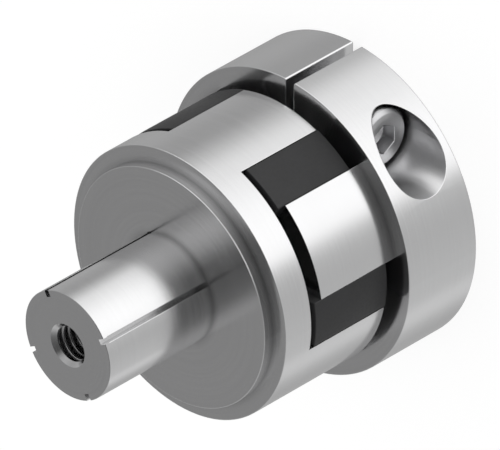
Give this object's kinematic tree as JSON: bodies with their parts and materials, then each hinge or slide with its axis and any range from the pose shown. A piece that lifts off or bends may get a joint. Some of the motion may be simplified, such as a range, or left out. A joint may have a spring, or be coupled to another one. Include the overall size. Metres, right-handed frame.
{
  "type": "shaft coupling",
  "caption": "Backlash-free jaw coupling with an elastomer spider between an expanding mandrel hub with a flange and a slit clamping hub.",
  "frame": {"origin": "centre of the clamp hub's flat end face, which the part stands on", "axes": "+Z along the shaft axis towards the mandrel's free end, +Y through the clamp slot, +X towards the clamp screw's head"},
  "size_m": [0.0282, 0.0282, 0.034],
  "materials": {
    "hub_aluminium": "turned, fine satin",
    "spider_elastomer": "moulded, matt",
    "screw_steel": "bright zinc plated",
    "cone_steel": "turned, satin"
  },
  "bodies": {
    "clamp_half": {"clamp_hub": "hub_aluminium"},
    "clamp_screw": {"clamp_screw": "screw_steel"},
    "spider": {"elastomer_spider": "spider_elastomer"},
    "mandrel_half": {"mandrel_hub": "hub_aluminium"},
    "mandrel_screw": {"mandrel_screw": "screw_steel"},
    "expander_cone": {"expander_cone": "cone_steel"}
  },
  "joints": [
    {"name": "clamp_screw_turn", "type": "hinge", "parent": "clamp_half", "child": "clamp_screw", "pos_m": [0.00395, 0.00955, 0.00385], "axis": [1, 0, 0], "range_deg": [0, 360]},
    {"name": "elastic_twist", "type": "hinge", "parent": "clamp_half", "child": "spider", "pos_m": [0, 0, 0.013], "axis": [0, 0, 1], "range_deg": [-2, 2], "stiffness_Nm_per_rad": 160, "deforming": ["elastomer_spider"]},
    {"name": "lift_off", "type": "slide", "parent": "spider", "child": "mandrel_half", "axis": [0, 0, 1], "range_m": [0, 0.012]},
    {"name": "mandrel_screw_turn", "type": "hinge", "parent": "mandrel_half", "child": "mandrel_screw", "pos_m": [0, 0, 0.0195], "axis": [0, 0, -1], "range_deg": [0, 720]},
    {"name": "cone_slide", "type": "slide", "parent": "mandrel_half", "child": "expander_cone", "axis": [0, 0, 1], "range_m": [0, 0.0014]}
  ],
  "couplings": [
    {"joint": "mandrel_screw_turn", "follows": "cone_slide", "rad_per_m": 8976}
  ]
}
